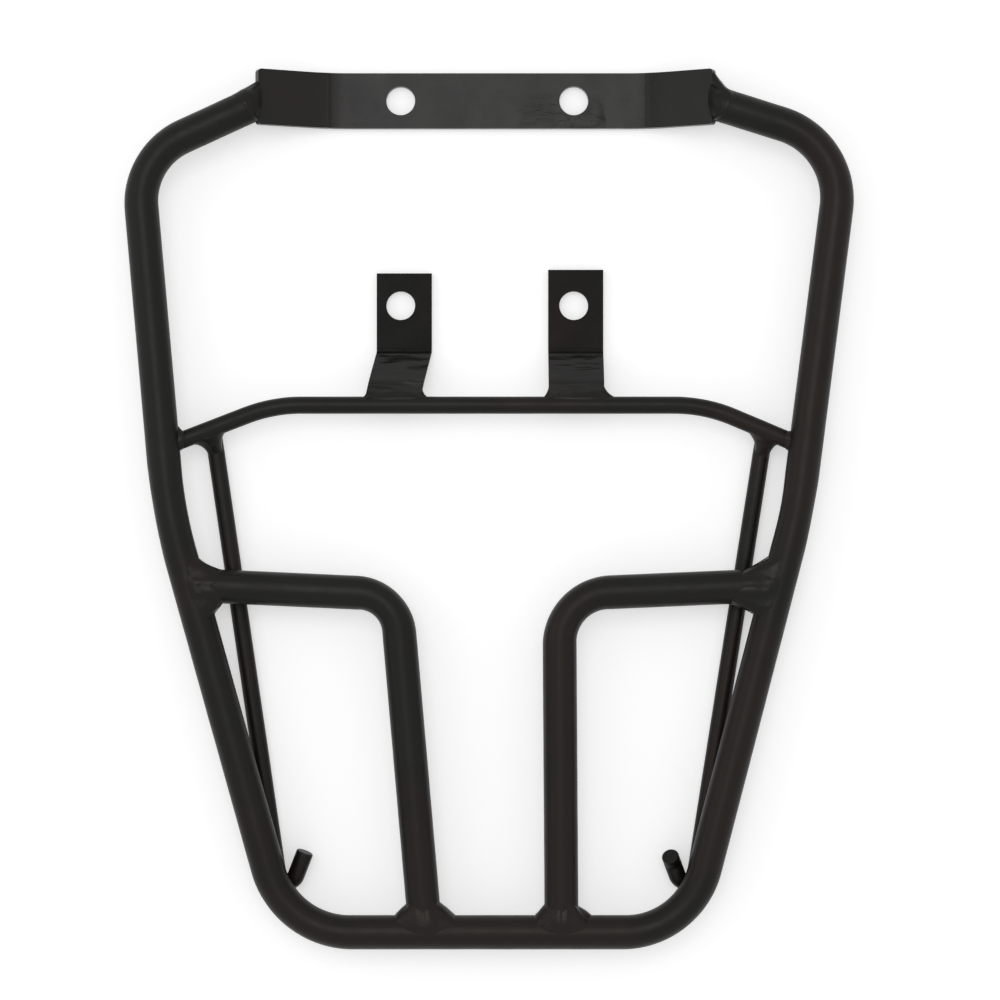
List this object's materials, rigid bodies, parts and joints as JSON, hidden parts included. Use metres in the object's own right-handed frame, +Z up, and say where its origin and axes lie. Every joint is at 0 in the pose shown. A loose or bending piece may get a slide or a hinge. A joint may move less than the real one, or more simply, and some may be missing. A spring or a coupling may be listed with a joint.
{
  "type": "motorcycle luggage rack",
  "caption": "Welded steel luggage rack: a bent tube loop with a bolted front strap, a cross rod with tabs, inner tubes, and side rails that end in tie-down hooks.",
  "frame": {"origin": "middle of the four mounting holes, on the mounting face under the strap and the tabs", "axes": "+Z up from the mounting face to the load side, +Y to the front (the strap), +X to the right seen from above"},
  "size_m": [0.2624, 0.3169, 0.0202],
  "materials": {
    "paint": "semi-gloss black paint on steel",
    "weld_paint": "the same black paint over weld beads"
  },
  "bodies": {
    "root": {"main_tube": "paint", "front_strap": "paint", "cross_rod": "paint", "left_tab": "paint", "right_tab": "paint", "left_inner_tube": "paint", "right_inner_tube": "paint", "left_side_rail": "paint", "right_side_rail": "paint", "left_strap_weld": "weld_paint", "right_strap_weld": "weld_paint", "left_cross_rod_weld": "weld_paint", "right_cross_rod_weld": "weld_paint", "left_inner_side_weld": "weld_paint", "right_inner_side_weld": "weld_paint", "left_inner_foot_weld": "weld_paint", "right_inner_foot_weld": "weld_paint", "left_tab_weld": "weld_paint", "right_tab_weld": "weld_paint", "left_rail_front_weld": "weld_paint", "right_rail_front_weld": "weld_paint", "left_rail_middle_weld": "weld_paint", "right_rail_middle_weld": "weld_paint", "left_rail_rear_weld": "weld_paint", "right_rail_rear_weld": "weld_paint"}
  },
  "joints": []
}
